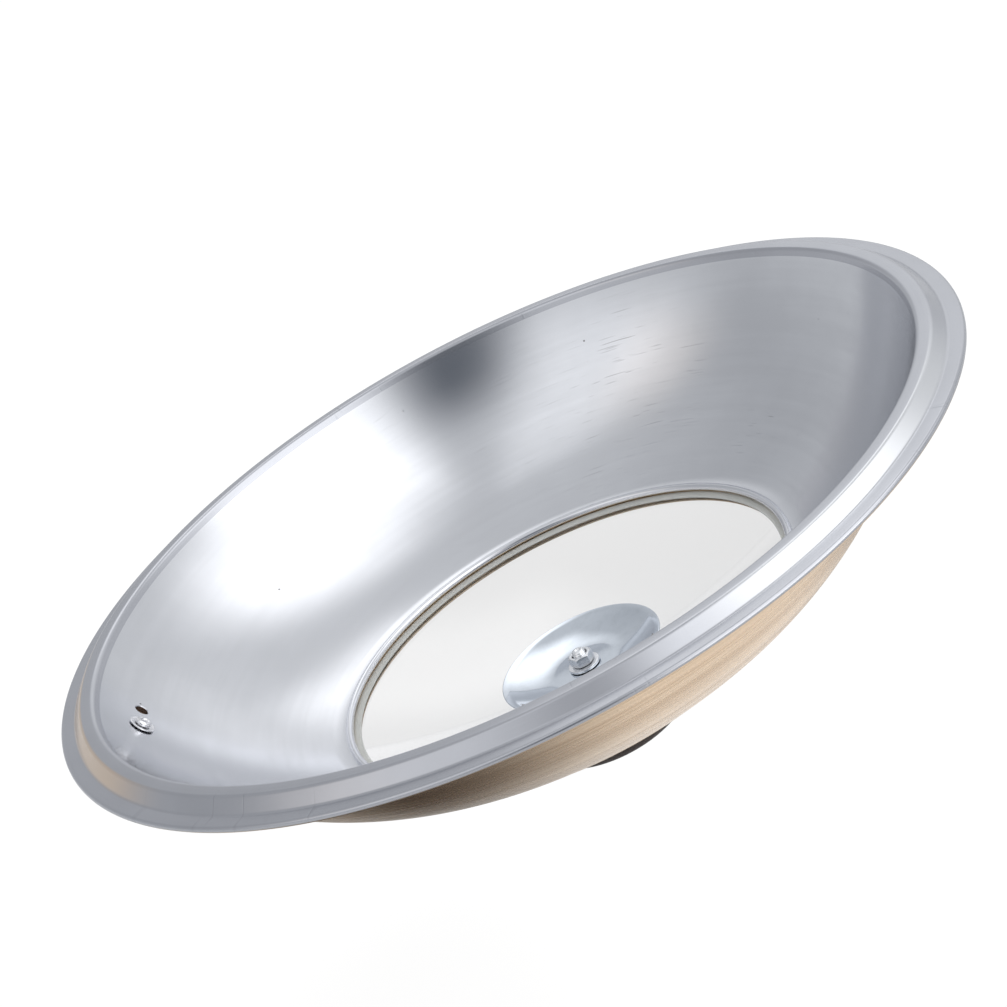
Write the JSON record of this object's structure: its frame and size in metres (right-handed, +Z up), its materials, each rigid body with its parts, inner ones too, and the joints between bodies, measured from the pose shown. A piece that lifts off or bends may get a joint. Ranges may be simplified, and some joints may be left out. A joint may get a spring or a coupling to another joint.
{
  "type": "pan lid with glass window",
  "caption": "Domed aluminium pan lid, gold outside and bare inside, with a raised lip, a round glass window, a bolted knob and a swivelling steam vent cover.",
  "frame": {"origin": "centre of the knob's flat end, on the lid's axis, with the lid lying hollow side up", "axes": "+Z up the lid's axis from the knob to the rim; -X towards the steam vent's rivet"},
  "size_m": [0.34, 0.34, 0.1027],
  "materials": {
    "shell_aluminium": "spun and polished bare metal inside and on the rim, champagne-gold lacquer on the outer face",
    "gold_lacquer": "brushed, champagne-gold lacquer",
    "window_glass": "clear tempered glass, polished",
    "silicone": "translucent grey silicone, satin",
    "polished_steel": "pressed and polished steel",
    "zinc_steel": "bright zinc plate",
    "knob_phenolic": "dark brown-black moulded phenolic, semi-gloss",
    "rivet_aluminium": "soft bare aluminium"
  },
  "bodies": {
    "lid": {"lid_shell": "shell_aluminium", "window_glass": "window_glass", "window_seal": "silicone", "window_ring": "gold_lacquer", "hub_dish": "polished_steel", "dish_gasket": "silicone", "hub_washer": "zinc_steel", "hub_nut": "zinc_steel", "knob_bolt": "zinc_steel", "knob_gasket": "silicone", "knob_body": "knob_phenolic", "knob_washer": "zinc_steel", "knob_cap": "knob_phenolic", "vent_rivet": "rivet_aluminium", "vent_spring_washer": "zinc_steel", "vent_burr": "rivet_aluminium"},
    "vent_cover": {"vent_cover": "gold_lacquer"}
  },
  "joints": [
    {"name": "vent_cover_swivel", "type": "hinge", "parent": "lid", "child": "vent_cover", "pos_m": [-0.1464, 0.00051, 0.08494], "axis": [-0.8283, 0.0029, -0.5602], "range_deg": [0, 180]}
  ]
}
